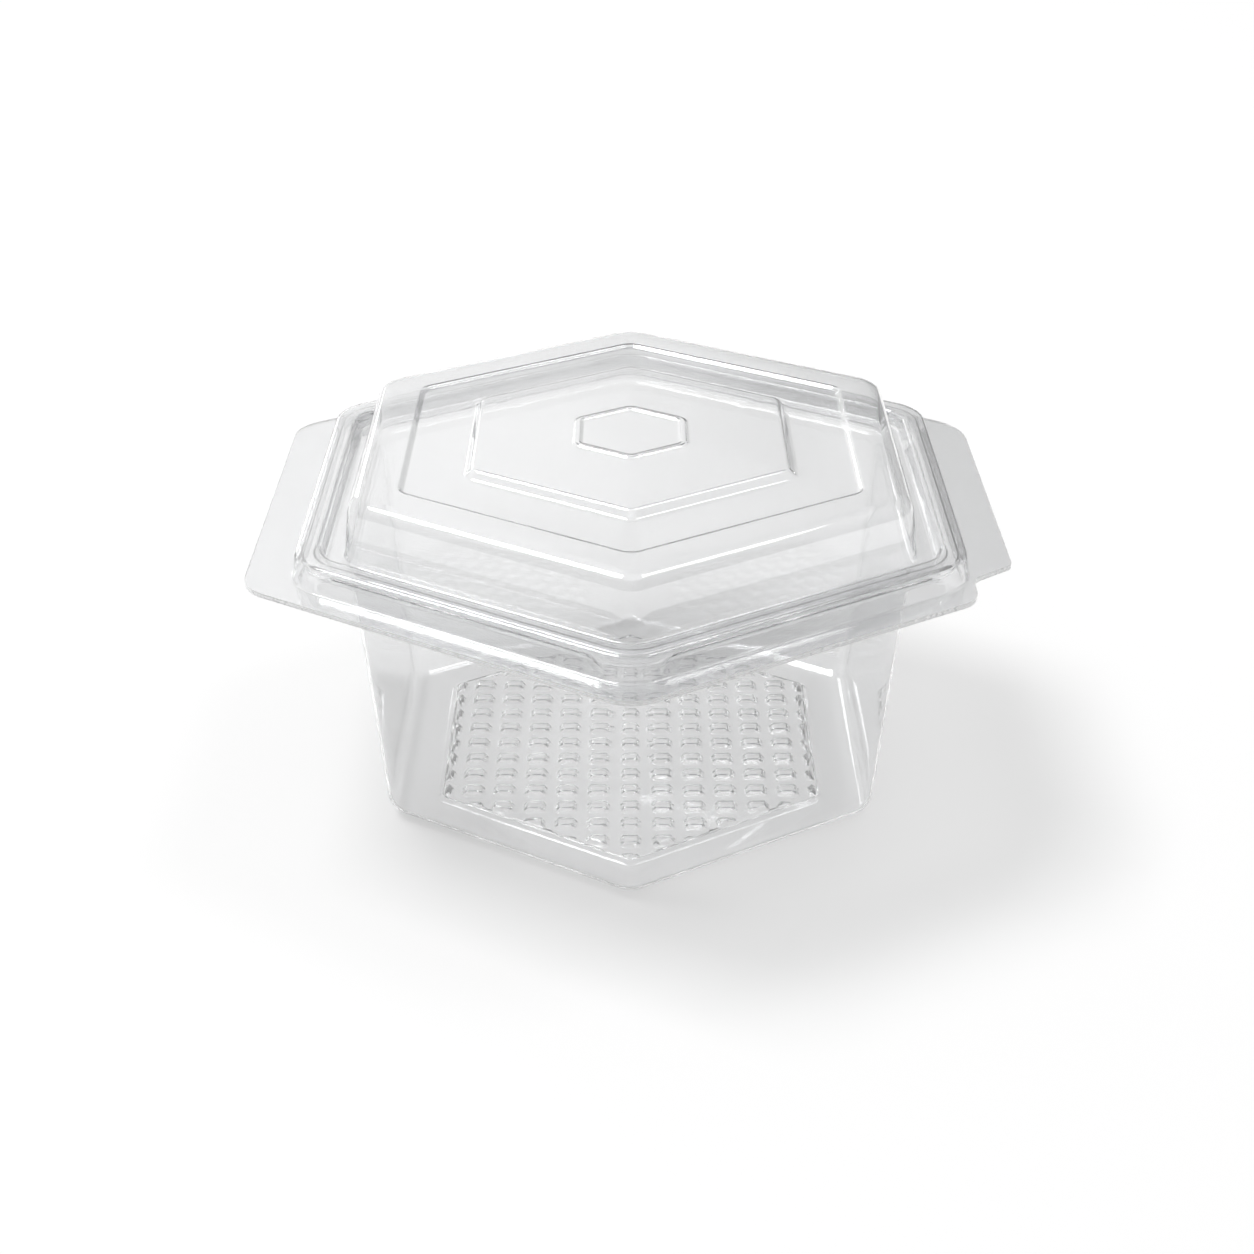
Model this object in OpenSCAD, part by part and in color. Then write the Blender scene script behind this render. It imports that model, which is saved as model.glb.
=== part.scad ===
// A hinged six-sided food container, formed from one clear sheet.
// The tray tapers to a foot ring round a raised waffle floor. Its rim is a hollow bead.
// The lid is a shallow dome whose rim nests over that bead, and folds open at the left.
// Z is up, the fold runs along Y at the left, and the finger tab is at the right.
// The origin is under the middle of the tray, on the face it stands on.

/* [Sheet] */
// Thickness of the formed sheet
sheet = 0.45; // [0.35:0.05:0.55]
// Gap between the tray's bead and the lid's rim round it
rim_gap = 0.35; // [0.3:0.05:0.45]

/* [Tray] */
// Width across the flats of the tray's wall where it meets the foot, outside
foot_width = 98.6; // [92:0.2:102]
// Width across the flats at the top of the tray's wall, outside
mouth_width = 107.6; // [104:0.2:114]
// Height from the foot to the face where the two flanges meet
fold_height = 57.6; // [35:0.1:80]
// How far the rounding under the wall reaches in from its sharp corner
foot_round = 4.4; // [2:0.1:6]
// Corner radius of the wall at the foot, seen from above
foot_corner = 4.5; // [4:0.5:9]
// Corner radius of the wall at the mouth, seen from above
mouth_corner = 7; // [5:0.5:10]
// Width of the low ring between the wall and the raised floor
foot_ring = 9.3; // [7:0.1:13]
// Height of the floor above the foot ring
floor_rise = 0.9; // [0.8:0.1:3]
// How far the step round the floor leans in over its height
floor_lean = 1.1; // [0.4:0.1:1.5]
// Corner radius of the raised floor, seen from above
floor_corner = 2.2; // [1:0.1:4]

/* [Waffle floor] */
// Distance between the middles of neighbouring columns of pads
column_pitch = 6.5; // [6:0.1:9]
// Distance between the middles of neighbouring rows of pads
row_pitch = 6; // [5.6:0.1:9]
// Width of a pad across the object
pad_width = 4.5; // [3.4:0.1:4.8]
// Length of a pad from front to back
pad_length = 3.9; // [3.4:0.1:4.8]
// Height of a pad above the floor
pad_height = 1; // [0.6:0.1:1.5]
// How far a pad's sides lean in over its height
pad_lean = 0.7; // [0.3:0.1:0.9]
// Cut at each corner of a pad
pad_chamfer = 0.9; // [0.5:0.1:1.3]
// Gap between a pad that is cut short and the edge of the waffle
pad_gap = 0.2; // [0.1:0.05:0.4]
// Plain strip between the waffle and the edge of the floor
pad_margin = 0.3; // [0.2:0.1:1.5]
// Shortest side of a pad that is cut by the edge of the floor
pad_least = 1.6; // [1.6:0.1:3]

/* [Tray rim] */
// Width of the ledge between the tray's wall and its bead
ledge_width = 5.55; // [5:0.05:7]
// Height of the ledge above the flange
ledge_height = 1.1; // [0.8:0.1:1.6]
// How far the rounding between wall and ledge reaches from its sharp corner
ledge_round = 2.6; // [1:0.1:3]
// Height of the bead above the flange
bead_height = 4.6; // [4:0.1:5.5]
// Width of the bead over its top
bead_width = 2.3; // [2:0.1:3]
// How far the bead's inner side leans outwards over its height
bead_lean = 0.7; // [0.5:0.1:1]
// How far the edges of the bead's top are rounded
bead_round = 0.6; // [0.3:0.1:0.8]
// Depth of the undercut below the bead's outer edge
bead_undercut = 0.35; // [0.1:0.05:0.5]
// How far the bead stands out below the undercut, past its outer edge
bead_skirt = 0.3; // [0.1:0.05:0.4]
// How far the bead's foot stands out past its outer edge
bead_flare = 1; // [0.8:0.05:1.2]
// Corner radius of the bead's outer edge, seen from above
rim_corner = 9; // [7.5:0.5:11]
// Change of the corner radius per millimetre across the rim
rim_ease = 0.3; // [0.2:0.05:0.5]

/* [Lid] */
// Height of the dome's shoulder above the face where the flanges meet
dome_height = 14.7; // [10:0.1:30]
// How far the foot of the dome stands out past the tray's wall
dome_overhang = 0.6; // [0:0.1:1.4]
// How far the dome's wall leans in over its height
dome_lean = 1.4; // [0.5:0.1:3]
// How far the rounding of the dome's shoulder reaches from its sharp corner
dome_round = 3.2; // [1:0.1:4]
// Corner radius of the dome's shoulder, seen from above
dome_corner = 6.5; // [4:0.5:9]
// Corner radius of the dome's foot, seen from above
dome_foot_corner = 7; // [4:0.5:9]
// Gap between the tray's ledge and the channel round the dome
channel_gap = 0.95; // [0.6:0.05:1.3]
// Gap between the lid's inner leg and the bead, which lets the leg swing out past it
leg_gap = 0.55; // [0.5:0.05:0.7]
// How much more the leg leans than the bead's inner side
leg_lean = 0.1; // [0:0.05:0.2]
// How far the roundings at the foot of the channel reach from their sharp corners
channel_round = 0.5; // [0.3:0.1:0.8]
// How far the edges of the top of the lid's rim are rounded
lid_rim_round = 0.8; // [0.5:0.1:1]
// How far the lid's rim leans in above the snap groove
lid_side_lean = 0.15; // [0.1:0.05:0.3]
// How far the lid's rim widens over the height of the snap groove
lid_side_draft = 0.2; // [0.1:0.05:0.3]
// How far the foot of the lid's rim stands out past its side
lid_flare = 0.6; // [0.5:0.1:1]
// Width of the band between the dome's wall and the recess in its top
band_width = 9.1; // [6:0.1:12]
// Depth of the recess in the dome's top
recess_depth = 0.7; // [0.6:0.1:2]
// Corner radius of the recess, seen from above
recess_corner = 3.5; // [2:0.1:6]
// Width across the flats of the raised panel in the recess
panel_width = 62.4; // [40:0.2:76]
// Height of the raised panel above the recess
panel_rise = 1.6; // [0.6:0.1:2]
// Corner radius of the raised panel, seen from above
panel_corner = 1.8; // [1.5:0.1:4]
// Width across the flats of the plain rib in the middle of the panel
rib_width = 20; // [12:0.2:34]
// Height of that rib above the panel
rib_rise = 0.4; // [0.2:0.1:0.6]
// Width of the flat along the top of that rib
rib_flat = 1; // [0.8:0.1:2]
// Width of the rib's sloping sides, seen from above
rib_slope = 0.5; // [0.4:0.1:1]
// Corner radius of the rib's inner edge, seen from above
rib_corner = 1; // [0.5:0.5:3]

/* [Snap groove] */
// Depth of the groove along each side of the lid's rim
groove_depth = 0.65; // [0.3:0.05:0.8]
// Height of the lid's rim above the groove
groove_drop = 1.4; // [1.2:0.1:1.6]
// Height of the groove
groove_height = 1.8; // [1.4:0.1:2]
// Height over which the groove's top and foot slope in
groove_slope = 0.35; // [0.25:0.05:0.5]
// How much lower the bead's undercut lies than the groove
undercut_drop = 0.4; // [0.2:0.1:0.5]
// Distance from each corner rounding to the groove's end, at its top
groove_end_top = 2.6; // [1:0.1:5]
// Distance from each corner rounding to the groove's end, at its foot
groove_end_low = 0.6; // [0.2:0.1:2]
// Length over which the groove runs out at its ends
groove_fade = 1.2; // [0.6:0.1:3]

/* [Flange] */
// Width of the flange outside the lid's rim
flange_width = 4.8; // [3:0.1:6]
// Width of the hinge strip at the left, outside the lid's rim
hinge_width = 8.8; // [7.5:0.1:12]
// Width of the finger tab at the right, outside the lid's rim
tab_width = 8.8; // [7.5:0.1:12]
// Flange that is left outside the lid's rim in the notch before the tab
notch_width = 0.5; // [0.4:0.1:1.5]
// Distance from the middle of the object to the front corner of the tab
tab_front = 28.2; // [24:0.1:29]
// Slant of the tab's front edge, in degrees
tab_slant = 35; // [25:1:40]
// Corner radius at the two ends of the hinge strip
hinge_corner = 8.5; // [5:0.5:10]
// Corner radius of the flange at the front and back points
flange_corner = 9; // [6:0.5:14]
// Corner radius at the back of the tab
tab_back_corner = 12; // [8:0.5:14]
// Corner radius at the front of the tab
tab_front_corner = 2.5; // [1.5:0.5:4]
// Radius of the hollow of the notch
notch_hollow = 4; // [2:0.5:4.5]
// Corner radius of the flange beside the notch
notch_corner = 6; // [4:0.5:7]

/* [Detail] */
// Flat steps round each corner, seen from above
corner_steps = 4; // [3:1:5]
// Flat steps round each rounded edge
round_steps = 2; // [1:1:3]
// Flat steps round the corners of the notch
notch_steps = 3; // [3:1:4]

/* [Hidden] */
// Least corner radius on the underside of the sheet
smallest_radius = 0.4;
// Least size of a cell at the edge of the waffle
least_cell = 0.5;
// Largest share of a cut pad's shortest side that its chamfer or its slope takes
pad_share = 0.25;

// Heights
floor_top = floor_rise + sheet;
ledge_top = fold_height + ledge_height;
bead_top = fold_height + bead_height;
lid_rim_top = bead_top + rim_gap + sheet;
channel_top = ledge_top + channel_gap + sheet;
dome_top = fold_height + dome_height;
recess_top = dome_top - recess_depth;
panel_top = recess_top + panel_rise;
rib_top = panel_top + rib_rise;
groove_top = lid_rim_top - groove_drop;
groove_low = groove_top - groove_height;

// Half widths across the flats: the tray, from the floor outwards
foot_half = foot_width / 2;
mouth_half = mouth_width / 2;
step_half = foot_half - foot_ring;
floor_half = step_half - floor_lean;
bead_inner = mouth_half - sheet + ledge_width;
bead_outer = bead_inner + bead_lean + bead_width;
bead_foot = bead_outer + bead_flare;

// Half widths across the flats: the lid, from its rim inwards
lid_waist = bead_outer + rim_gap + sheet;
lid_side = lid_waist + groove_depth;
lid_side_low = lid_side + lid_side_draft;
lid_foot = lid_side + lid_flare;
leg_top = bead_inner + bead_lean - leg_gap - sheet;
leg_foot = leg_top - bead_lean - leg_lean;
dome_foot = mouth_half + dome_overhang;
dome_half = dome_foot - dome_lean;
recess_half = dome_half - band_width;
panel_half = panel_width / 2;
rib_half = rib_width / 2;
rib_outer_half = rib_half + rib_flat;
rib_outer_corner = rib_corner + rib_slope + rib_flat;

// The flange's outer edges, measured from the middle
flange_edge = lid_foot + flange_width;
hinge_edge = lid_foot + hinge_width;
tab_edge = lid_foot + tab_width;
notch_edge = lid_foot + notch_width;
tab_facing = 270 + tab_slant;
tab_front_edge = tab_edge * cos(tab_facing) - tab_front * sin(tab_facing);

function toward(angle) = [cos(angle), sin(angle)];

// Where two straight edges cross; each faces an angle and lies a distance from the middle
function crossing(a, da, b, db) =
    [da * sin(b) - db * sin(a), db * cos(a) - da * cos(b)] / sin(b - a);

function arc(centre, radius, from, to, steps) =
    [for (j = [0:steps]) centre + radius * toward(from + (to - from) * j / steps)];

function corner(a, da, b, db, radius, steps) =
    arc(crossing(a, da - radius, b, db - radius), radius, a, b, steps);

function hollow(a, da, b, db, radius, steps) =
    arc(crossing(a, da + radius, b, db + radius), radius, a + 180, b + 180, steps);

// A ring is twelve lists of points: along side 0, round corner 0, along side 1 and so on
// Side k faces 60 * k degrees, and corner k comes after it
function ring_from(sides, corners) = [for (k = [0:5]) each [sides[k], corners[k]]];

function corners_of(half, radius) =
    [for (k = [0:5]) corner(60 * k, half, 60 * k + 60, half, radius, corner_steps)];

function plain_ring(half, radius) = ring_from([for (k = [0:5]) []], corners_of(half, radius));

function grooved_ring(half, radius, end) = let(
    reach = (half - radius) * tan(30) - end,
    stops = [[-reach, 0], [groove_fade - reach, 1], [reach - groove_fade, 1], [reach, 0]])
    ring_from(
        [for (k = [0:5]) [for (s = stops)
            (half - s[1] * groove_depth) * toward(60 * k) + s[0] * toward(60 * k + 90)]],
        corners_of(half, radius));

// The cut edge of both flanges, with the hinge strip, the tab and its notch
edge_out = [tab_edge, flange_edge, flange_edge, hinge_edge, flange_edge, flange_edge];
edge_corner = [tab_back_corner, flange_corner, hinge_corner, hinge_corner, flange_corner];
tab_side = concat(
    hollow(360, notch_edge, tab_facing, tab_front_edge, notch_hollow, notch_steps),
    corner(tab_facing, tab_front_edge, 360, tab_edge, tab_front_corner, notch_steps));
flange_ring = ring_from(
    [tab_side, [], [], [], [], []],
    concat(
        [for (k = [0:4])
            corner(60 * k, edge_out[k], 60 * k + 60, edge_out[k + 1], edge_corner[k], corner_steps)],
        [corner(300, flange_edge, 360, notch_edge, notch_corner, corner_steps)]));

// A profile is a list of [half width, height, corner radius, rounding, groove end]
// A point with a rounding becomes a short curve
function setback(from, to, reach) =
    let(d = norm([to[0] - from[0], to[1] - from[1]]))
    from + (to - from) * min(reach / d, 0.5);

function place(p) = [p[0], p[1], p[2]];

function rounded(profile) = [
    for (i = [0:len(profile) - 1])
        let(p = profile[i])
        each p[3] == 0 ? [concat(place(p), [p[4]])] :
            let(
                from = setback(place(p), place(profile[i - 1]), p[3]),
                to = setback(place(p), place(profile[i + 1]), p[3]))
            [for (j = [0:round_steps])
                let(s = j / round_steps)
                concat((1 - s) * (1 - s) * from + 2 * s * (1 - s) * place(p) + s * s * to, [0])]
];

// The same profile on the underside of the sheet
function facing(p, q) = let(d = [q[0] - p[0], q[1] - p[1]]) [-d[1], d[0]] / norm(d);

function underside(profile) = let(last = len(profile) - 1) [
    for (i = [0:last])
        let(
            p = profile[i],
            before = i == 0 ? [0, 1] : facing(profile[i - 1], p),
            after = i == last ? [0, 1] : facing(p, profile[i + 1]),
            move = (before + after) * sheet / (1 + before * after))
        [p[0] - move[0], p[1] - move[1], max(smallest_radius, p[2] - move[0]), p[3]]
];

function ring_of(p) = p[3] > 0 ? grooved_ring(p[0], p[2], p[3]) : plain_ring(p[0], p[2]);

// A level is [ring, height]
function levels_of(profile) = [for (p = profile) [ring_of(p), p[1]]];

function at_height(points, z) = [for (p = points) [p[0], p[1], z]];

function level_points(level) = [for (list = level[0]) each at_height(list, level[1])];

function sum_first(v, n) = n == 0 ? 0 : v[n - 1] + sum_first(v, n - 1);

// Numbers of the points in one list of a level; a side's path takes in the corner points at its ends
function path(level, start, i) = let(
    counts = [for (list = level[0]) len(list)],
    first = start + sum_first(counts, i),
    before = i > 0 ? first - 1 : start + sum_first(counts, 12) - 1)
    i % 2 == 1 ? [for (j = [0:counts[i] - 1]) first + j] :
        concat([before], [for (j = [0:counts[i]]) first + j]);

// Triangles between two paths: equal paths pair up, and a path of one or two points fans out
function strip(a, b) =
    len(a) == len(b) ?
        [for (i = [0:1:len(a) - 2]) each [[a[i + 1], b[i + 1], a[i]], [b[i + 1], b[i], a[i]]]] :
    len(a) < len(b) ?
        let(half = len(a) == 1 ? len(b) - 1 : floor(len(b) / 2))
        [for (i = [0:len(b) - 2])
            each i == half ? [[a[1], b[i], a[0]], [b[i + 1], b[i], a[1]]] :
                [[b[i + 1], b[i], a[i < half ? 0 : 1]]]] :
    [for (triangle = strip(b, a)) [triangle[2], triangle[1], triangle[0]]];

function band(a, b, start_a, start_b) =
    [for (i = [0:11]) each strip(path(a, start_a, i), path(b, start_b, i))];

// One closed sheet: its top side, its cut edge and its underside, with a flat or a
// patterned middle, which is given as loose triangles
module formed_sheet(top, under, edge_height, middle = []) {
    last = len(under) - 1;
    levels = concat(
        top,
        [[flange_ring, edge_height + sheet], [flange_ring, edge_height]],
        [for (i = [0:last]) under[last - i]]);
    counts = [for (level = levels) len(level_points(level))];
    end = len(levels) - 1;
    starts = [for (i = [0:end + 1]) sum_first(counts, i)];
    size = starts[end + 1];
    flat_middle = [
        [for (i = [counts[0] - 1:-1:0]) i],
        [for (i = [starts[end]:size - 1]) i]
    ];
    polyhedron(
        points = concat(
            [for (level = levels) each level_points(level)],
            [for (triangle = middle) each triangle]),
        faces = concat(
            [for (i = [0:end - 1]) each band(levels[i], levels[i + 1], starts[i], starts[i + 1])],
            len(middle) == 0 ? flat_middle :
                [for (i = [0:len(middle) - 1]) [for (j = [2:-1:0]) size + 3 * i + j]]),
        convexity = 10);
}

// The waffle floor is a grid of cells inside a sharp-cornered border
// Columns run from front to back; the border cuts the cells at their ends
pad_border = floor_half - pad_margin;
column_count = floor((pad_border - least_cell) / column_pitch + 0.5);
column_lines = concat(
    [-pad_border],
    [for (i = [-column_count:column_count - 1]) (i + 0.5) * column_pitch],
    [pad_border]);

function border_at(x) = (pad_border - abs(x) / 2) / cos(30);

function rows_at(x) = let(count = floor((border_at(x) - least_cell) / row_pitch))
    [for (i = [-count:count]) i * row_pitch];

function backwards(v) = [for (i = [len(v) - 1:-1:0]) v[i]];

function border_points(low, high, side) =
    [for (x = column_lines) if (x > low && x < high) [x, side * border_at(x)]];

border_ring = ring_from(
    [
        [for (y = rows_at(pad_border)) [pad_border, y]],
        backwards(border_points(0, pad_border, 1)),
        backwards(border_points(-pad_border, 0, 1)),
        backwards([for (y = rows_at(pad_border)) [-pad_border, y]]),
        border_points(-pad_border, 0, -1),
        border_points(0, pad_border, -1)
    ],
    [for (k = [0:5]) [pad_border / cos(30) * toward(60 * k + 30)]]);

// A cell is its outline, counterclockwise, and the room [near, far, front, back] that its pad has
function column_cells(a, b) = let(
    rows_a = rows_at(a),
    rows_b = rows_at(b),
    rows = len(rows_a) < len(rows_b) ? rows_a : rows_b,
    last = rows[len(rows) - 1],
    near = a == -pad_border ? a + pad_gap : a + (column_pitch - pad_width) / 2,
    far = b == pad_border ? b - pad_gap : b - (column_pitch - pad_width) / 2,
    gap = (row_pitch - pad_length) / 2,
    limit = min(border_at(a), border_at(b)) - pad_gap,
    end_back = min(last + row_pitch - gap, limit),
    end_cell = concat(
        [[a, last], [b, last]],
        [for (y = rows_b) if (y > last) [b, y]],
        [[b, border_at(b)]],
        a < 0 && b > 0 ? [[0, border_at(0)]] : [],
        [[a, border_at(a)]],
        backwards([for (y = rows_a) if (y > last) [a, y]])))
    concat(
        [for (i = [0:len(rows) - 2])
            [
                [[a, rows[i]], [b, rows[i]], [b, rows[i + 1]], [a, rows[i + 1]]],
                [near, far, rows[i] + gap, rows[i + 1] - gap]
            ]],
        [
            [end_cell, [near, far, last + gap, end_back]],
            [backwards([for (p = end_cell) [p[0], -p[1]]]), [near, far, -end_back, -last - gap]]
        ]);

cells = [for (i = [0:len(column_lines) - 2]) each column_cells(column_lines[i], column_lines[i + 1])];

// Points round a centre, each as [angle, point], from the smallest angle on and closed
function swept(points, centre) = let(
    angles = [for (p = points) let(d = p - centre) (atan2(d[1], d[0]) + 360) % 360],
    count = len(points),
    first = [for (i = [0:count - 1]) if (angles[i] == min(angles)) i][0])
    concat(
        [for (i = [0:count - 1]) [angles[(first + i) % count], points[(first + i) % count]]],
        [[angles[first] + 360, points[first]]]);

// Triangles between two loops, the outer one and the inner one, in step round their centre
function zip(outer, inner, i = 0, j = 0) =
    i == len(outer) - 1 && j == len(inner) - 1 ? [] :
    j == len(inner) - 1 || (i < len(outer) - 1 && outer[i + 1][0] <= inner[j + 1][0]) ?
        concat([[outer[i][1], outer[i + 1][1], inner[j][1]]], zip(outer, inner, i + 1, j)) :
        concat([[outer[i][1], inner[j + 1][1], inner[j][1]]], zip(outer, inner, i, j + 1));

function flat_triangles(triangles, z) = [for (t = triangles) at_height(t, z)];

function pad_walls(foot, top) = [
    for (k = [0:3]) each [
        [foot[2 * k], foot[2 * k + 1], top[(k + 1) % 4]],
        [foot[2 * k], top[(k + 1) % 4], top[k]],
        [foot[2 * k + 1], foot[(2 * k + 2) % 8], top[(k + 1) % 4]]
    ]
];

// One cell of the floor, with its pad if there is room for one
function cell(outline, room, shrink, z) = let(
    least = min(room[1] - room[0], room[3] - room[2]),
    near = room[0] + shrink,
    far = room[1] - shrink,
    front = room[2] + shrink,
    back = room[3] - shrink,
    c = min(pad_chamfer, least * pad_share),
    lean = min(pad_lean, least * pad_share),
    middle = [(near + far) / 2, (front + back) / 2],
    foot = [
        [far, front + c], [far, back - c], [far - c, back], [near + c, back],
        [near, back - c], [near, front + c], [near + c, front], [far - c, front]
    ],
    top = [
        [far - lean, front + lean], [far - lean, back - lean],
        [near + lean, back - lean], [near + lean, front + lean]
    ])
    least < pad_least ?
        let(centre = sum_points(outline, len(outline)) / len(outline), count = len(outline))
        flat_triangles(
            [for (i = [0:count - 1]) [outline[i], outline[(i + 1) % count], centre]], z) :
        concat(
            flat_triangles(zip(swept(outline, middle), swept(foot, middle)), z),
            pad_walls(at_height(foot, z), at_height(top, z + pad_height)),
            flat_triangles([[top[0], top[1], top[2]], [top[0], top[2], top[3]]], z + pad_height));

function sum_points(v, n) = n == 1 ? v[0] : v[n - 1] + sum_points(v, n - 1);

function waffle(shrink, z) = [for (c = cells) each cell(c[0], c[1], shrink, z)];

// A pad's inner faces are drawn in so that its sloping walls keep the sheet's thickness
pad_ratio = pad_lean / pad_height;
pad_wall = sheet * (sqrt(1 + pad_ratio * pad_ratio) - pad_ratio);

// Corner radius anywhere across the rim
function rim_radius(half) = rim_corner + (half - bead_outer) * rim_ease;

bead_top_inner = bead_inner + bead_lean;
groove_middle = (groove_top + groove_low) / 2;

tray_profile = rounded([
    [floor_half, floor_top, floor_corner, 0, 0],
    [step_half, sheet, floor_corner + floor_lean, 0, 0],
    [foot_half - sheet, sheet, foot_corner, foot_round, 0],
    [mouth_half - sheet, ledge_top, mouth_corner, ledge_round, 0],
    [bead_inner, ledge_top, rim_radius(bead_inner), 0, 0],
    [bead_top_inner, bead_top, rim_radius(bead_top_inner), bead_round, 0],
    [bead_outer, bead_top, rim_corner, bead_round, 0],
    [bead_outer, groove_top - undercut_drop, rim_corner, 0, 0],
    [bead_outer - bead_undercut, groove_middle - undercut_drop, rim_corner, 0, 0],
    [bead_outer + bead_skirt, groove_low - undercut_drop, rim_corner, 0, 0],
    [bead_foot, fold_height, rim_corner, 0, 0]
]);

recess_foot_corner = max(smallest_radius, recess_corner - recess_depth);

lid_profile = rounded([
    [rib_half - rib_slope, panel_top, rib_corner, 0, 0],
    [rib_half, rib_top, rib_corner + rib_slope, 0, 0],
    [rib_outer_half, rib_top, rib_outer_corner, 0, 0],
    [rib_outer_half + rib_slope, panel_top, rib_outer_corner + rib_slope, 0, 0],
    [panel_half - panel_rise / 2, panel_top, panel_corner, 0, 0],
    [panel_half + panel_rise / 2, recess_top, panel_corner + panel_rise, 0, 0],
    [recess_half - recess_depth, recess_top, recess_foot_corner, 0, 0],
    [recess_half, dome_top, recess_corner, 0, 0],
    [dome_half, dome_top, dome_corner, dome_round, 0],
    [dome_foot, channel_top, dome_foot_corner, channel_round, 0],
    [leg_foot, channel_top, rim_radius(leg_foot), channel_round, 0],
    [leg_top, lid_rim_top, rim_radius(leg_top), lid_rim_round, 0],
    [lid_side - lid_side_lean, lid_rim_top, rim_radius(lid_side), lid_rim_round, 0],
    [lid_side, groove_top, rim_radius(lid_side), 0, 0],
    [lid_side, groove_top - groove_slope, rim_radius(lid_side), 0, groove_end_top],
    [lid_side_low, groove_low + groove_slope, rim_radius(lid_side_low), 0, groove_end_low],
    [lid_side_low, groove_low, rim_radius(lid_side_low), 0, 0],
    [lid_foot, fold_height + sheet, rim_radius(lid_foot), 0, 0]
]);

module tray() {
    color([0.86, 0.89, 0.92, 0.45])
    formed_sheet(
        concat([[border_ring, floor_top]], levels_of(tray_profile)),
        concat([[border_ring, floor_rise]], levels_of(underside(tray_profile))),
        fold_height - sheet,
        concat(
            waffle(0, floor_top),
            [for (t = waffle(pad_wall, floor_rise)) backwards(t)]));
}

module lid() {
    color([0.9, 0.93, 0.95, 0.45])
    formed_sheet(levels_of(lid_profile), levels_of(underside(lid_profile)), fold_height);
}

tray();
lid();
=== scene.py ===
from math import cos, hypot, radians, sin, tan

import bmesh
import bpy
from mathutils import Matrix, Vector
from mathutils.geometry import delaunay_2d_cdt


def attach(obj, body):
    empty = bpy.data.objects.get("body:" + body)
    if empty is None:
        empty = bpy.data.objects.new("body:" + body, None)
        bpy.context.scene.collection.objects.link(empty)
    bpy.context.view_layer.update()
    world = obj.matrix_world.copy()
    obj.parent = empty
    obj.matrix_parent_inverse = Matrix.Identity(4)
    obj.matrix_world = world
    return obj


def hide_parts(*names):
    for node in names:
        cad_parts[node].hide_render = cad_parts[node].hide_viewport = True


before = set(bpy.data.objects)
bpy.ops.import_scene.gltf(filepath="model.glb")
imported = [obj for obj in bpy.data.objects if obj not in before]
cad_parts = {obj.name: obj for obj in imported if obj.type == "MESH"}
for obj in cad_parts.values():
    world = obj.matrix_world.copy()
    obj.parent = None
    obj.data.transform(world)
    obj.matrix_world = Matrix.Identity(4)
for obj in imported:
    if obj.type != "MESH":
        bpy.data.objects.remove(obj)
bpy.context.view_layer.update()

# The tray
# The lower half of one clear PET sheet, drawn down over a mould: a tapered six-sided wall, a
# foot ring round the raised waffle floor, and at the top a ledge, a hollow bead and a flange.
# Its sizes, and the lid's, are in millimetres until the mesh is made.
MILLIMETRE = 0.001
SHEET = 0.45
FOLD_HEIGHT = 57.6
AIR = 0.04  # each flange stays this far off the face where the two meet
FLOOR_TOP = 1.35
LEDGE_TOP = FOLD_HEIGHT + 1.1
BEAD_TOP = FOLD_HEIGHT + 4.6

# half width across the flats, height, corner radius, rounding, where a groove ends
TRAY_PROFILE = [
    (38.6, FLOOR_TOP, 2.0, 0.0, None),
    (38.9, FLOOR_TOP, 2.2, 0.3, None),
    (40.0, SHEET, 3.3, 0.4, None),
    (48.85, SHEET, 4.5, 4.4, None),
    (53.35, LEDGE_TOP, 7.0, 2.6, None),
    (58.9, LEDGE_TOP, 8.1, 0.35, None),
    (59.6, BEAD_TOP, 8.3, 0.6, None),
    (61.9, BEAD_TOP, 9.0, 0.6, None),
    (61.9, FOLD_HEIGHT + 3.2, 9.0, 0.25, None),
    (61.55, FOLD_HEIGHT + 2.3, 9.0, 0.25, None),
    (62.2, FOLD_HEIGHT + 1.3, 9.0, 0.3, None),
    (62.9, FOLD_HEIGHT - AIR, 9.0, 0.3, None),
    (64.1, FOLD_HEIGHT - AIR, 9.2, 0.0, None),
]

# the outline of the flange, the fold strip at the left and the finger tab at the right
FLANGE_HALF = 68.75
FOLD_HALF = 72.75
TAB_HALF = 72.75
NOTCH_HALF = 64.45
TAB_FRONT = 28.2
TAB_FACING = 305.0


def toward(angle):
    return Vector((cos(radians(angle)), sin(radians(angle))))


def crossing(a, da, b, db):
    """Where two edges cross, each facing an angle at a distance from the middle."""
    s = sin(radians(b - a))
    return Vector((da * sin(radians(b)) - db * sin(radians(a)),
                   db * cos(radians(a)) - da * cos(radians(b)))) / s


def bend(a, da, b, db, radius, steps):
    """A rounded corner between two edges; a negative radius makes a hollow one."""
    centre = crossing(a, da - radius, b, db - radius)
    return [centre + radius * toward(a + (b - a) * j / steps) for j in range(steps + 1)]


def flange_outline():
    """The cut edge of both halves, from the front corner of the tab round to its notch."""
    tab_edge = TAB_HALF * cos(radians(TAB_FACING)) - TAB_FRONT * sin(radians(TAB_FACING))
    # what each of two neighbouring edges faces and how far out it lies, then radius and steps
    corners = [
        (TAB_FACING, tab_edge, 360, TAB_HALF, 2.5, 10),
        (0, TAB_HALF, 60, FLANGE_HALF, 12, 20),
        (60, FLANGE_HALF, 120, FLANGE_HALF, 9, 18),
        (120, FLANGE_HALF, 180, FOLD_HALF, 8.5, 18),
        (180, FOLD_HALF, 240, FLANGE_HALF, 8.5, 18),
        (240, FLANGE_HALF, 300, FLANGE_HALF, 9, 18),
        (300, FLANGE_HALF, 360, NOTCH_HALF, 6, 14),
        (360, NOTCH_HALF, TAB_FACING, tab_edge, -4, 12),
    ]
    return [point for corner in corners for point in bend(*corner)]


LARGE_ROUNDING = 2
STEPS_OF_LARGE = 9
STEPS_OF_SMALL = 5


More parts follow.
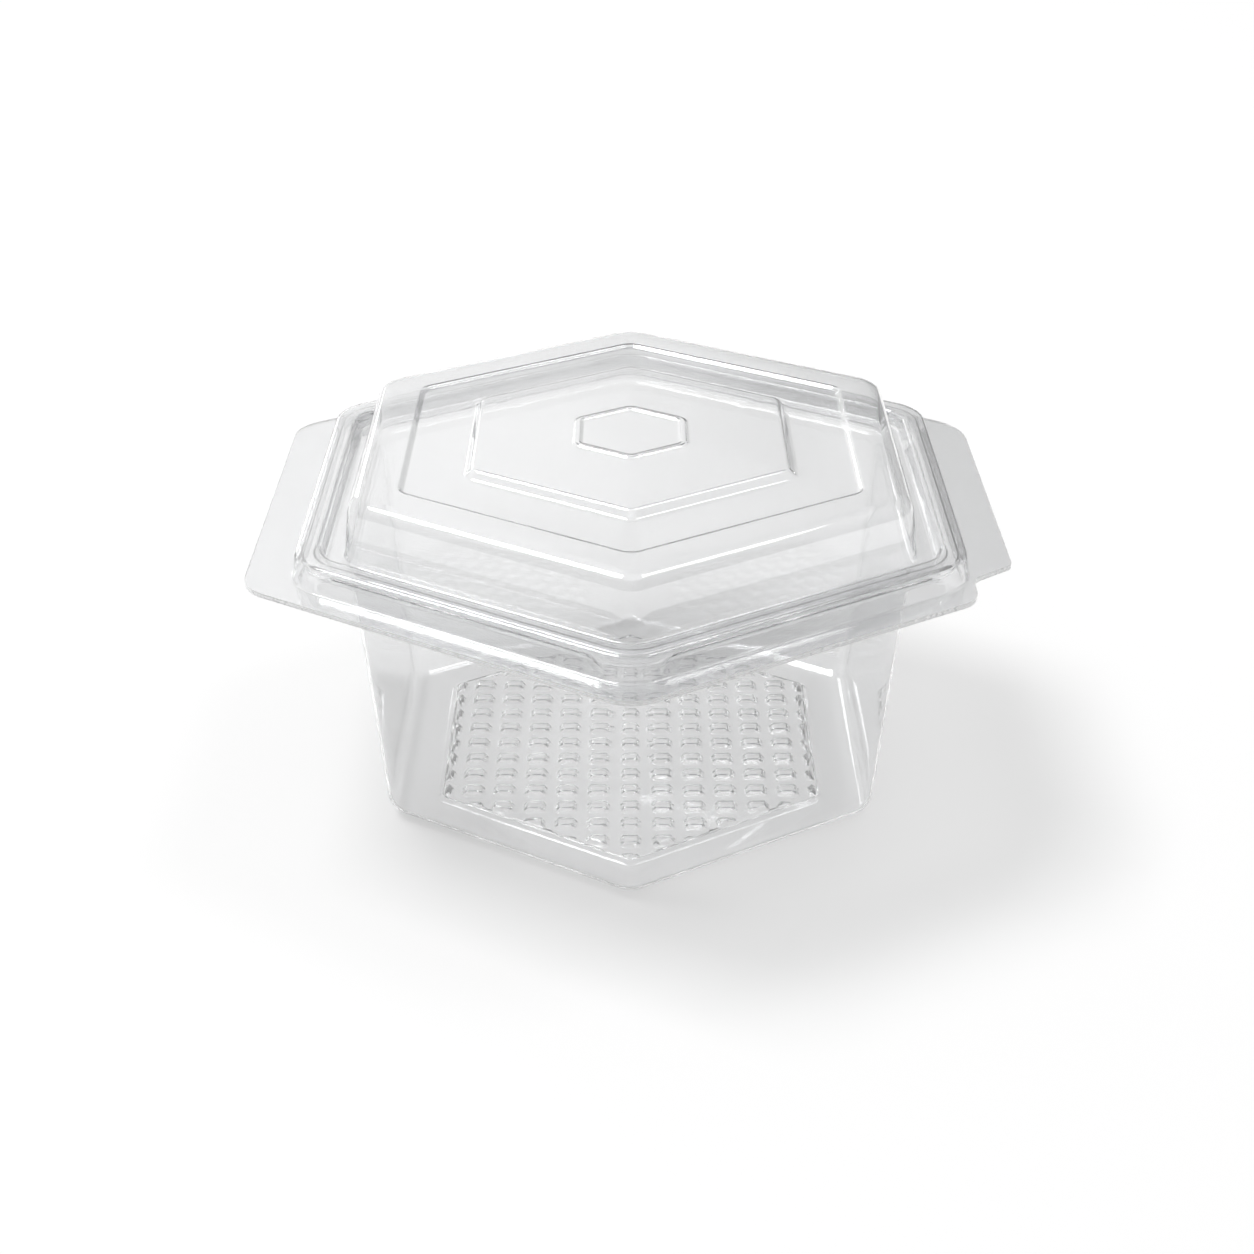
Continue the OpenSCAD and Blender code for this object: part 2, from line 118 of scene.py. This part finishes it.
def rounded_profile(profile):
    """Each corner of a profile with a rounding becomes a short curve."""
    out = []
    for i, p in enumerate(profile):
        if not p[3]:
            out.append(p[:3] + (p[4],))
            continue
        here = Vector(p[:3])
        ends = []
        for other in (profile[i - 1], profile[i + 1]):
            far = Vector(other[:3])
            reach = hypot(far[0] - here[0], far[1] - here[1])
            ends.append(here + (far - here) * min(p[3] / reach, 0.5))
        steps = STEPS_OF_LARGE if p[3] > LARGE_ROUNDING else STEPS_OF_SMALL
        for j in range(steps + 1):
            s = j / steps
            q = ends[0] * (1 - s) ** 2 + here * (2 * s * (1 - s)) + ends[1] * s * s
            out.append((q[0], q[1], q[2], None))
    return out


GROOVE_DEPTH = 0.65
GROOVE_FADE = 1.4
CORNER_STEPS = 12
STATIONS = (0.5, 1.1, 1.7, 2.3, 2.9, 3.5, 4.1, 5.0)  # along a side, from where a corner ends
STATION_SHARE = 0.6  # most of half a side that the stations take


def six_sided(half, radius, groove_end):
    """One level of a half: corner arcs, and stations along each side where a groove can end."""
    ring = []
    for k in range(6):
        reach = (half - radius) * tan(radians(30))
        along = [reach - s * min(1, STATION_SHARE * reach / STATIONS[-1]) for s in STATIONS]
        along = [-s for s in along] + [-reach / 3, reach / 3] + along[::-1]
        for t in along:
            depth = 0.0
            if groove_end is not None:
                share = min(1, max(0, (reach - groove_end - abs(t)) / GROOVE_FADE))
                depth = GROOVE_DEPTH * share * share * (3 - 2 * share)
            ring.append((half - depth) * toward(60 * k) + t * toward(60 * k + 90))
        ring += bend(60 * k, half, 60 * k + 60, half, radius, CORNER_STEPS)
    return ring


def flat_part(bm, loops, height, grid=()):
    """Fills one ring of vertices, with the grid's points inside it, or the flat between two."""
    verts = [v for loop in loops for v in loop]
    points = [Vector((v.co.x, v.co.y)) for v in verts]
    edges, start = [], 0
    for loop in loops:
        edges += [(start + j, start + (j + 1) % len(loop)) for j in range(len(loop))]
        start += len(loop)
    points += [Vector(p) for p in grid]
    verts += [bm.verts.new((p[0], p[1], height)) for p in grid]
    hole = len(loops[0]) if len(loops) == 2 else 0
    _, _, faces, from_verts, _, _ = delaunay_2d_cdt(points, edges, [], 1, 1e-6)
    for face in faces:
        corners = [from_verts[i][0] for i in face]
        if max(corners) >= hole:
            bm.faces.new([verts[i] for i in corners])


def formed_half(name, profile, edge_height, middle_grid=()):
    """The upper side of one half of the sheet, from its middle out to the flange's cut edge."""
    bm = bmesh.new()
    levels = rounded_profile(profile)
    rings = [[bm.verts.new((p[0], p[1], z)) for p in six_sided(half, radius, groove)]
             for half, z, radius, groove in levels]
    for a, b in zip(rings, rings[1:]):
        for j in range(len(a)):
            n = (j + 1) % len(a)
            bm.faces.new((a[j], b[j], b[n], a[n]))
    flat_part(bm, [rings[0]], levels[0][1], middle_grid)
    outline = [bm.verts.new((p[0], p[1], edge_height)) for p in flange_outline()]
    flat_part(bm, [rings[-1], outline], edge_height)
    bmesh.ops.scale(bm, vec=(MILLIMETRE, MILLIMETRE, MILLIMETRE), verts=bm.verts)
    for f in bm.faces:
        f.smooth = True
    for e in bm.edges:
        if e.is_boundary:
            e.smooth = False
    mesh = bpy.data.meshes.new(name)
    bm.to_mesh(mesh)
    bm.free()
    obj = bpy.data.objects.new(name, mesh)
    bpy.context.scene.collection.objects.link(obj)
    return obj


def node_in(tree, kind, **values):
    node = tree.nodes.new(kind)
    for key, value in values.items():
        setattr(node, key, value)
    return node


def wired(tree, kind, *inputs, **values):
    """Adds a node, wires or sets its inputs in order, and gives its first output."""
    node = node_in(tree, kind, **values)
    for socket, value in zip(node.inputs, inputs):
        if isinstance(value, bpy.types.NodeSocket):
            tree.links.new(value, socket)
        elif value is not None:
            socket.default_value = value
    return node.outputs[0]


def compute(tree, operation, *inputs):
    return wired(tree, "ShaderNodeMath", *inputs, operation=operation)


def faded(tree, value, low, high, at_low, at_high):
    """A smooth change from one number to another as a value passes from low to high."""
    return wired(tree, "ShaderNodeMapRange", value, low, high, at_low, at_high,
                 interpolation_type="SMOOTHSTEP")


def number_inputs(tree, values):
    """Gives a node group its named inputs, each with the number it holds at first."""
    for name, value in values.items():
        socket = tree.interface.new_socket(name, in_out="INPUT", socket_type="NodeSocketFloat")
        socket.default_value = value


def sheet_wander_group():
    """How the sheet wanders: faint ripples from forming, and a haze that isn't quite even."""
    tree = bpy.data.node_groups.new("sheet_wander", "ShaderNodeTree")
    number_inputs(tree, {"Ripple Size": 60.0, "Grain Size": 900.0, "Grain Height": 0.012, "Haze": 0.03})
    for name in ("Height", "Roughness"):
        tree.interface.new_socket(name, in_out="OUTPUT", socket_type="NodeSocketFloat")
    given = tree.nodes.new("NodeGroupInput")
    result = tree.nodes.new("NodeGroupOutput")
    place = tree.nodes.new("ShaderNodeTexCoord").outputs["Object"]
    ripple = node_in(tree, "ShaderNodeTexNoise")
    ripple.inputs["Detail"].default_value = 0.0
    tree.links.new(place, ripple.inputs["Vector"])
    tree.links.new(given.outputs["Ripple Size"], ripple.inputs["Scale"])
    grain = node_in(tree, "ShaderNodeTexNoise")
    grain.inputs["Detail"].default_value = 3.0
    tree.links.new(place, grain.inputs["Vector"])
    tree.links.new(given.outputs["Grain Size"], grain.inputs["Scale"])
    grain_height = compute(tree, "MULTIPLY", grain.outputs["Fac"], given.outputs["Grain Height"])
    height = compute(tree, "ADD", ripple.outputs["Fac"], grain_height)
    tree.links.new(height, result.inputs["Height"])
    haze = compute(tree, "MULTIPLY", compute(tree, "ADD", grain.outputs["Fac"], ripple.outputs["Fac"]),
                   given.outputs["Haze"])
    tree.links.new(haze, result.inputs["Roughness"])
    return tree


sheet_wander = sheet_wander_group()

GLOSS_INDEX = 1.57
BODY_INDEX = 1.4
RIPPLE_STRENGTH = 0.02
EDGE_POWER = 2.5


def clear_sheet(name, ripple, haze, milk, face_on, edge_on, shade):
    """Clear PET. It darkens where it is seen edge-on, a painted shade for the dark lines along its
    silhouettes and bends, with a little of the real darkening from the longer path through the sheet there.
    It lets light from the lamps through.

    The coat gives the sheet its gloss; the body under it bends light less than solid PET
    does, because formed sheet is much thinner than it is drawn here at its bends.
    """
    material = bpy.data.materials.new(name)
    material.use_nodes = True
    tree = material.node_tree
    tree.nodes.clear()
    wander = node_in(tree, "ShaderNodeGroup", node_tree=sheet_wander)
    wander.inputs["Ripple Size"].default_value = ripple
    wander.inputs["Haze"].default_value = haze
    # the colour runs from face_on, the sheet's own faint colour, to edge_on where the sheet is seen edge-on,
    # which is painted shade
    facing = node_in(tree, "ShaderNodeLayerWeight")
    facing.inputs["Blend"].default_value = 0.5
    steep = compute(tree, "POWER", facing.outputs["Facing"], EDGE_POWER)
    tint_and_painted_edge_shade = node_in(tree, "ShaderNodeMix", data_type="RGBA")
    tint_and_painted_edge_shade.inputs["A"].default_value = face_on + (1,)
    tint_and_painted_edge_shade.inputs["B"].default_value = edge_on + (1,)
    tree.links.new(steep, tint_and_painted_edge_shade.inputs["Factor"])
    bump = node_in(tree, "ShaderNodeBump")
    bump.inputs["Strength"].default_value = RIPPLE_STRENGTH
    bump.inputs["Distance"].default_value = MILLIMETRE
    tree.links.new(wander.outputs["Height"], bump.inputs["Height"])
    pet = node_in(tree, "ShaderNodeBsdfPrincipled")
    pet.inputs["IOR"].default_value = BODY_INDEX
    pet.inputs["Coat Weight"].default_value = 1.0
    pet.inputs["Coat Roughness"].default_value = 0.02
    pet.inputs["Coat IOR"].default_value = GLOSS_INDEX
    pet.inputs["Transmission Weight"].default_value = 1.0 - milk
    tree.links.new(tint_and_painted_edge_shade.outputs["Result"], pet.inputs["Base Color"])
    tree.links.new(wander.outputs["Roughness"], pet.inputs["Roughness"])
    tree.links.new(bump.outputs["Normal"], pet.inputs["Normal"])
    through = node_in(tree, "ShaderNodeBsdfTransparent")
    through.inputs["Color"].default_value = (shade, shade, shade, 1)
    path = node_in(tree, "ShaderNodeLightPath")
    lamps = compute(tree, "MAXIMUM", path.outputs["Is Shadow Ray"], path.outputs["Is Diffuse Ray"])
    mix = node_in(tree, "ShaderNodeMixShader")
    tree.links.new(lamps, mix.inputs[0])
    tree.links.new(pet.outputs[0], mix.inputs[1])
    tree.links.new(through.outputs[0], mix.inputs[2])
    out = node_in(tree, "ShaderNodeOutputMaterial")
    tree.links.new(mix.outputs[0], out.inputs["Surface"])
    return material


clear_pet = clear_sheet("clear_pet", ripple=60.0, haze=0.01, milk=0.04,
                        face_on=(0.985, 0.987, 0.99), edge_on=(0.7, 0.705, 0.71), shade=0.905)


def waffle_tree():
    """Raises pads out of the floor, in columns and rows inside a six-sided border.

    A pad has a flat rectangular top, four slopes and four cut corners at its foot.
    """
    tree = bpy.data.node_groups.new("waffle_floor", "GeometryNodeTree")
    tree.interface.new_socket("Geometry", in_out="INPUT", socket_type="NodeSocketGeometry")
    number_inputs(tree, {
        "Column Pitch": 6.5, "Row Pitch": 6.0, "Pad Width": 4.8, "Pad Length": 4.1, "Pad Height": 1.0,
        "Slope": 0.85, "Corner Cut": 1.0, "Softness": 0.15, "Border": 38.6, "Gap": 0.2})
    tree.interface.new_socket("Material", in_out="INPUT", socket_type="NodeSocketMaterial")
    tree.interface.new_socket("Geometry", in_out="OUTPUT", socket_type="NodeSocketGeometry")
    given = tree.nodes.new("NodeGroupInput").outputs
    position = tree.nodes.new("GeometryNodeInputPosition").outputs[0]
    apart = node_in(tree, "ShaderNodeSeparateXYZ")
    tree.links.new(position, apart.inputs[0])
    x = compute(tree, "ABSOLUTE", compute(tree, "MULTIPLY", apart.outputs[0], 1 / MILLIMETRE))
    y = compute(tree, "ABSOLUTE", compute(tree, "MULTIPLY", apart.outputs[1], 1 / MILLIMETRE))

    # distances from the middle of the nearest column and of the nearest row
    column = compute(tree, "MULTIPLY", given["Column Pitch"],
                     compute(tree, "ROUND", compute(tree, "DIVIDE", x, given["Column Pitch"])))
    row = compute(tree, "MULTIPLY", given["Row Pitch"],
                  compute(tree, "ADD", 0.5,
                          compute(tree, "FLOOR", compute(tree, "DIVIDE", y, given["Row Pitch"]))))
    u = compute(tree, "ABSOLUTE", compute(tree, "SUBTRACT", x, column))
    v = compute(tree, "ABSOLUTE", compute(tree, "SUBTRACT", y, row))

    # how far in from the pad's sides, its cut corners and the border the point lies
    half_width = compute(tree, "MULTIPLY", given["Pad Width"], 0.5)
    half_length = compute(tree, "MULTIPLY", given["Pad Length"], 0.5)
    cut = compute(tree, "SUBTRACT", compute(tree, "ADD", half_width, half_length), given["Corner Cut"])
    steepness = compute(tree, "DIVIDE", given["Slope"],
                        compute(tree, "SUBTRACT", compute(tree, "MULTIPLY", given["Slope"], 2.0),
                                given["Corner Cut"]))
    corner = compute(tree, "MULTIPLY", compute(tree, "SUBTRACT", cut, compute(tree, "ADD", u, v)), steepness)
    depth = compute(tree, "MINIMUM", compute(tree, "SUBTRACT", half_width, u),
                    compute(tree, "SUBTRACT", half_length, v))
    depth = compute(tree, "MINIMUM", depth, corner)
    reach = compute(tree, "SUBTRACT", given["Border"], given["Gap"])
    slant = compute(tree, "ADD", compute(tree, "MULTIPLY", x, 0.5),
                    compute(tree, "MULTIPLY", y, cos(radians(30))))
    inside = compute(tree, "MINIMUM", compute(tree, "SUBTRACT", reach, x),
                     compute(tree, "SUBTRACT", reach, slant))
    depth = compute(tree, "MINIMUM", depth, inside)

    share = compute(tree, "DIVIDE", depth, given["Slope"])
    share = compute(tree, "SMOOTH_MIN", share, 1.0, given["Softness"])
    share = compute(tree, "SMOOTH_MAX", share, 0.0, given["Softness"])
    pad_height = compute(tree, "MULTIPLY", given["Pad Height"], MILLIMETRE)
    lift = node_in(tree, "ShaderNodeCombineXYZ")
    tree.links.new(compute(tree, "MULTIPLY", share, pad_height), lift.inputs[2])
    move = node_in(tree, "GeometryNodeSetPosition")
    tree.links.new(given["Geometry"], move.inputs["Geometry"])
    tree.links.new(lift.outputs[0], move.inputs["Offset"])
    real = node_in(tree, "GeometryNodeRealizeInstances")
    tree.links.new(move.outputs[0], real.inputs[0])
    finish = node_in(tree, "GeometryNodeSetMaterial")
    tree.links.new(real.outputs[0], finish.inputs["Geometry"])
    tree.links.new(given["Material"], finish.inputs["Material"])
    result = tree.nodes.new("NodeGroupOutput")
    tree.links.new(finish.outputs[0], result.inputs[0])
    return tree


def grow_with(obj, tree, values):
    """Runs a Geometry Nodes tree on a piece and keeps the result as its plain mesh."""
    modifier = obj.modifiers.new(tree.name, "NODES")
    modifier.node_group = tree
    for item in tree.interface.items_tree:
        if item.item_type == "SOCKET" and item.in_out == "INPUT" and item.name in values:
            modifier[item.identifier] = values[item.name]
    bpy.context.view_layer.update()
    grown = obj.evaluated_get(bpy.context.evaluated_depsgraph_get())
    mesh = bpy.data.meshes.new_from_object(grown)
    obj.modifiers.remove(modifier)
    old = obj.data
    obj.data = mesh
    bpy.data.meshes.remove(old)
    mesh.name = obj.name


cut_pet = clear_sheet("cut_pet", ripple=60.0, haze=0.3, milk=0.8,
                      face_on=(0.98, 0.98, 0.98), edge_on=(0.98, 0.98, 0.98), shade=0.9)


def thickened(obj):
    """Gives the sheet its thickness, with the paler look of a cut along the flange's edge."""
    obj.data.materials.append(cut_pet)
    wall = obj.modifiers.new("sheet", "SOLIDIFY")
    wall.material_offset_rim = 1
    wall.thickness = SHEET * MILLIMETRE
    wall.offset = -1.0
    wall.use_even_offset = True
    wall.use_quality_normals = True


COLUMN_PITCH = 6.5
ROW_PITCH = 6.0
WAFFLE_HALF = 38.6
GRID_MARGIN = 0.3
COLUMNS_EACH_WAY = 6
ROWS_EACH_WAY = 8

# grid lines of one cell, which lie close together on the slopes of the pad
column_places = (-3.25, -2.6, -2.4, -2.2, -1.8, -1.5, -1.3, -0.65,
                 0.0, 0.65, 1.3, 1.5, 1.8, 2.2, 2.4, 2.6)
row_places = (-3.0, -2.25, -2.05, -1.85, -1.5, -1.15, -0.95, -0.5,
              0.0, 0.5, 0.95, 1.15, 1.5, 1.85, 2.05, 2.25)
floor_grid = []
for i in range(-COLUMNS_EACH_WAY, COLUMNS_EACH_WAY + 1):
    for across in column_places:
        for j in range(-ROWS_EACH_WAY, ROWS_EACH_WAY):
            for along in row_places:
                x, y = i * COLUMN_PITCH + across, (j + 0.5) * ROW_PITCH + along
                out_from_middle = max(abs(x), abs(x) / 2 + abs(y) * cos(radians(30)))
                if out_from_middle < WAFFLE_HALF - GRID_MARGIN:
                    floor_grid.append((x, y))

tray_sheet = formed_half("tray_sheet", TRAY_PROFILE, FOLD_HEIGHT - AIR, floor_grid)
grow_with(tray_sheet, waffle_tree(), {
    "Column Pitch": COLUMN_PITCH, "Row Pitch": ROW_PITCH, "Border": WAFFLE_HALF, "Material": clear_pet})
thickened(tray_sheet)
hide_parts("tray")
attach(tray_sheet, "tray")

# The lid
# The upper half of the same sheet: a shallow dome with a recess, a raised panel and a plain
# six-sided rib in its middle. Its rim nests over the tray's bead, and a groove pressed into
# each of its six sides snaps under that bead.
DOME_TOP = FOLD_HEIGHT + 14.7
RECESS_TOP = DOME_TOP - 0.7
PANEL_TOP = RECESS_TOP + 1.6
RIB_TOP = PANEL_TOP + 0.4
CHANNEL_TOP = FOLD_HEIGHT + 2.5
RIM_TOP = FOLD_HEIGHT + 5.4
LID_FLANGE_TOP = FOLD_HEIGHT + AIR + SHEET

LID_PROFILE = [
    (9.2, PANEL_TOP, 0.8, 0.0, None),
    (9.5, PANEL_TOP, 1.0, 0.2, None),
    (10.0, RIB_TOP, 1.5, 0.25, None),
    (11.0, RIB_TOP, 2.5, 0.25, None),
    (11.5, PANEL_TOP, 3.0, 0.2, None),
    (30.4, PANEL_TOP, 1.8, 0.5, None),
    (32.0, RECESS_TOP, 3.4, 0.5, None),
    (43.2, RECESS_TOP, 2.8, 0.4, None),
    (43.9, DOME_TOP, 3.5, 0.4, None),
    (53.0, DOME_TOP, 6.5, 3.2, None),
    (54.4, CHANNEL_TOP, 7.0, 0.5, None),
    (57.8, CHANNEL_TOP, 7.8, 0.5, None),
    (58.6, RIM_TOP, 8.0, 0.8, None),
    (63.2, RIM_TOP, 9.4, 0.8, None),
    (63.35, RIM_TOP - 1.4, 9.4, 0.0, None),
    (63.35, RIM_TOP - 1.75, 9.4, 0.0, 2.6),
    (63.45, RIM_TOP - 2.3, 9.5, 0.0, 1.6),
    (63.55, RIM_TOP - 2.85, 9.5, 0.0, 0.6),
    (63.55, RIM_TOP - 3.2, 9.5, 0.0, None),
    (63.95, LID_FLANGE_TOP, 9.6, 0.3, None),
    (64.3, LID_FLANGE_TOP, 9.7, 0.0, None),
]

lid_sheet = formed_half("lid_sheet", LID_PROFILE, LID_FLANGE_TOP)
# the lid's copy of the sheet is darker than the tray's, though both halves are one sheet: a painted shade
# for the grey tone of the lid
lid_pet_painted_shade = clear_sheet("lid_pet_painted_shade", ripple=60.0, haze=0.01, milk=0.04,
                      face_on=(0.94, 0.943, 0.947), edge_on=(0.67, 0.675, 0.68), shade=0.905)
lid_sheet.data.materials.append(lid_pet_painted_shade)
thickened(lid_sheet)
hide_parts("lid")
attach(lid_sheet, "lid")

# The studio
# A pale floor without a seam, a large soft lamp high at the left, small ones at the right and
# behind, and a camera at the angle of the photograph. None of it is part of the object.
FLOOR_REACH = 3.0
FLOOR_GAP = 0.00005  # how far the floor lies below the foot, so that they share no face
floor_mesh = bpy.data.meshes.new("studio_floor")
floor_mesh.from_pydata([(x * FLOOR_REACH, y * FLOOR_REACH, -FLOOR_GAP)
                        for x, y in ((-1, -1), (1, -1), (1, 1), (-1, 1))], [], [(0, 1, 2, 3)])
floor = bpy.data.objects.new("studio_floor", floor_mesh)
bpy.context.scene.collection.objects.link(floor)
paper = bpy.data.materials.new("floor_paper")
paper.use_nodes = True
paper_surface = paper.node_tree.nodes["Principled BSDF"]
paper_surface.inputs["Base Color"].default_value = (0.98, 0.98, 0.98, 1)
paper_surface.inputs["Roughness"].default_value = 1.0
paper_surface.inputs["Specular IOR Level"].default_value = 0.0

# far from the object the paper fades into the white of the surroundings
FADE_FROM = 0.4
FADE_TO = 1.1
paper_tree = paper.node_tree
from_middle = node_in(paper_tree, "ShaderNodeVectorMath", operation="LENGTH")
paper_tree.links.new(node_in(paper_tree, "ShaderNodeTexCoord").outputs["Object"], from_middle.inputs[0])
ray = node_in(paper_tree, "ShaderNodeLightPath")
in_sheet = compute(paper_tree, "MAXIMUM", ray.outputs["Is Glossy Ray"], ray.outputs["Is Transmission Ray"])
looking = compute(paper_tree, "MAXIMUM", ray.outputs["Is Camera Ray"], in_sheet)
far = faded(paper_tree, from_middle.outputs["Value"], FADE_FROM, FADE_TO, 0.0, 1.0)
white = node_in(paper_tree, "ShaderNodeEmission")
blend = node_in(paper_tree, "ShaderNodeMixShader")
paper_tree.links.new(compute(paper_tree, "MULTIPLY", looking, far), blend.inputs[0])
paper_tree.links.new(paper_surface.outputs[0], blend.inputs[1])
paper_tree.links.new(white.outputs[0], blend.inputs[2])
paper_tree.links.new(blend.outputs[0], paper_tree.nodes["Material Output"].inputs["Surface"])
floor.data.materials.append(paper)

# The surroundings are white to the camera. What the sheet mirrors or bends towards them is
# white at the back and overhead, and grey at the right and the front.
FRONT_GREY = 0.35
RIGHT_GREY = 0.35
SOFT_LIGHT = 0.3
world = bpy.data.worlds.new("studio")
bpy.context.scene.world = world
world.use_nodes = True
sky = world.node_tree
sky.nodes.clear()
path = node_in(sky, "ShaderNodeLightPath")
around = node_in(sky, "ShaderNodeSeparateXYZ")
sky.links.new(node_in(sky, "ShaderNodeTexCoord").outputs["Generated"], around.inputs[0])
to_the_back = faded(sky, around.outputs[1], -0.5, 0.3, FRONT_GREY, 1.0)
to_the_right = faded(sky, around.outputs[0], -0.1, 0.25, 1.0, RIGHT_GREY)
upwards = faded(sky, around.outputs[2], 0.8, 0.95, 0.0, 1.0)
mirrored = compute(sky, "MAXIMUM", compute(sky, "MULTIPLY", to_the_back, to_the_right), upwards)
through = compute(sky, "MAXIMUM", path.outputs["Is Glossy Ray"], path.outputs["Is Transmission Ray"])
seen = node_in(sky, "ShaderNodeBackground")
sky.links.new(compute(sky, "MAXIMUM", mirrored, path.outputs["Is Camera Ray"]), seen.inputs["Color"])
soft = node_in(sky, "ShaderNodeBackground")
soft.inputs["Color"].default_value = (1, 1, 1, 1)
soft.inputs["Strength"].default_value = SOFT_LIGHT
either = node_in(sky, "ShaderNodeMixShader")
sky.links.new(compute(sky, "MAXIMUM", through, path.outputs["Is Camera Ray"]), either.inputs[0])
sky.links.new(soft.outputs[0], either.inputs[1])
sky.links.new(seen.outputs[0], either.inputs[2])
sky.links.new(either.outputs[0], node_in(sky, "ShaderNodeOutputWorld").inputs["Surface"])


def soft_box(name, place, width, depth, power):
    lamp = bpy.data.lights.new(name, "AREA")
    lamp.shape = "RECTANGLE"
    lamp.size = width
    lamp.size_y = depth
    lamp.energy = power
    stand = bpy.data.objects.new(name, lamp)
    bpy.context.scene.collection.objects.link(stand)
    stand.location = place
    stand.rotation_euler = (-Vector(place)).to_track_quat("-Z", "Y").to_euler()


# the key makes the shadow and lights the left shoulders, the others only add their highlights
soft_box("key", place=(-1.9, 0.7, 4.6), width=2.0, depth=2.0, power=186.0)
soft_box("right", place=(1.9, 0.8, 4.6), width=1.3, depth=1.3, power=25.0)
soft_box("back_left", place=(-2.1, 4.35, 1.25), width=0.5, depth=1.4, power=7.0)

# the camera's angle and distance come from the fit to the corners seen in the photograph
VIEW_ELEVATION = radians(29.39)
VIEW_DISTANCE = 0.41745
view_aim = Vector((-0.0007, 0.0, 0.02855))
camera = bpy.data.cameras.new("camera")
camera.sensor_width = 36.0
camera.lens = 57.0
camera.clip_start = 0.01
camera_stand = bpy.data.objects.new("camera", camera)
bpy.context.scene.collection.objects.link(camera_stand)
to_camera = Vector((0, -cos(VIEW_ELEVATION), sin(VIEW_ELEVATION)))
camera_stand.location = view_aim + VIEW_DISTANCE * to_camera
camera_stand.rotation_euler = (view_aim - camera_stand.location).to_track_quat("-Z", "Y").to_euler()
bpy.context.scene.camera = camera_stand

bpy.context.scene.view_settings.view_transform = "Standard"
BOUNCES = 32  # a line of sight can pass the sheet many times
bpy.context.scene.cycles.max_bounces = BOUNCES
bpy.context.scene.cycles.transmission_bounces = BOUNCES
bpy.context.scene.cycles.transparent_max_bounces = BOUNCES
